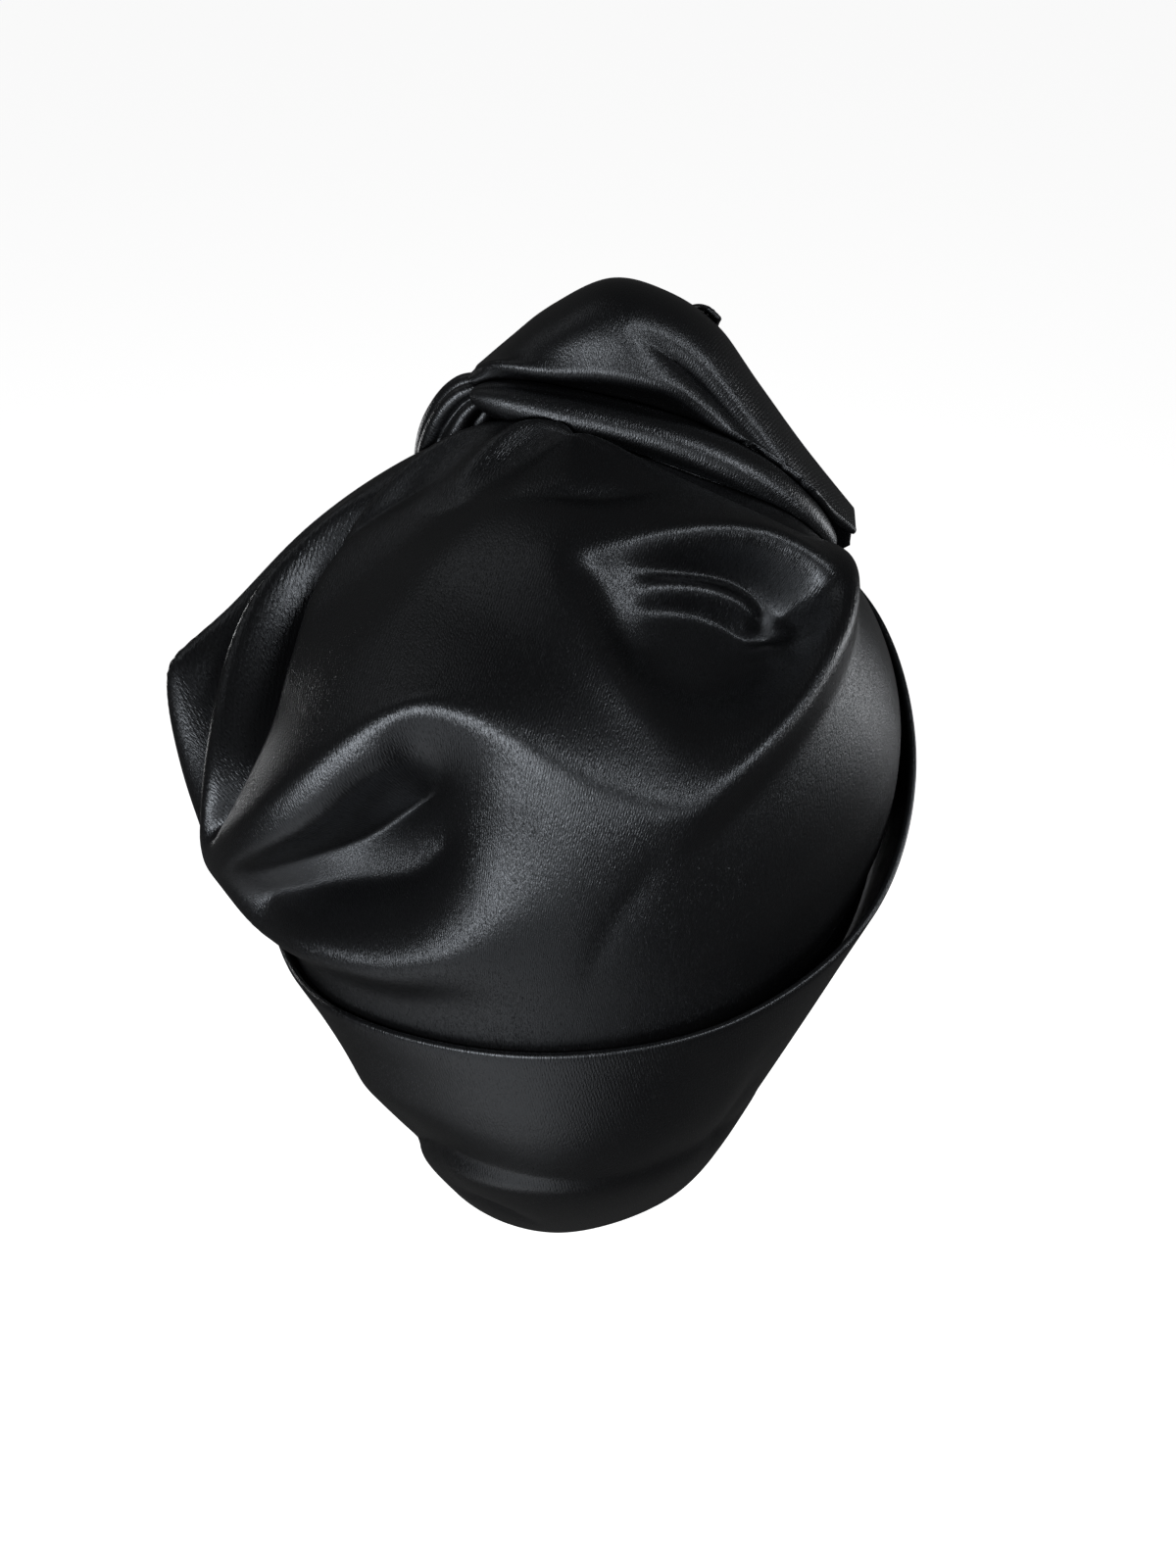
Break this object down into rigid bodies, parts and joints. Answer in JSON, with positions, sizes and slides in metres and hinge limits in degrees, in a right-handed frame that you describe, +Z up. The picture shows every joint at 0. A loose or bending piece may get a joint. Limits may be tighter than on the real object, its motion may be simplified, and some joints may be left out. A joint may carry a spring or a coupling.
{
  "type": "turban headwrap",
  "caption": "Soft satin turban headwrap with a loose folded crown, a wide smooth head band and a looped knot at the front.",
  "frame": {"origin": "middle of the head opening, level with the forehead's edge of the band", "axes": "+Z up through the crown, -Y towards the wearer's face, +X towards the wearer's left"},
  "size_m": [0.2183, 0.2041, 0.2532],
  "materials": {
    "satin": "glossy black satin with a soft blue sheen"
  },
  "bodies": {
    "root": {"crown": "satin", "head_band": "satin", "knot_loop": "satin", "knot_roll": "satin", "knot_tuck": "satin", "knot_tail": "satin"}
  },
  "joints": []
}
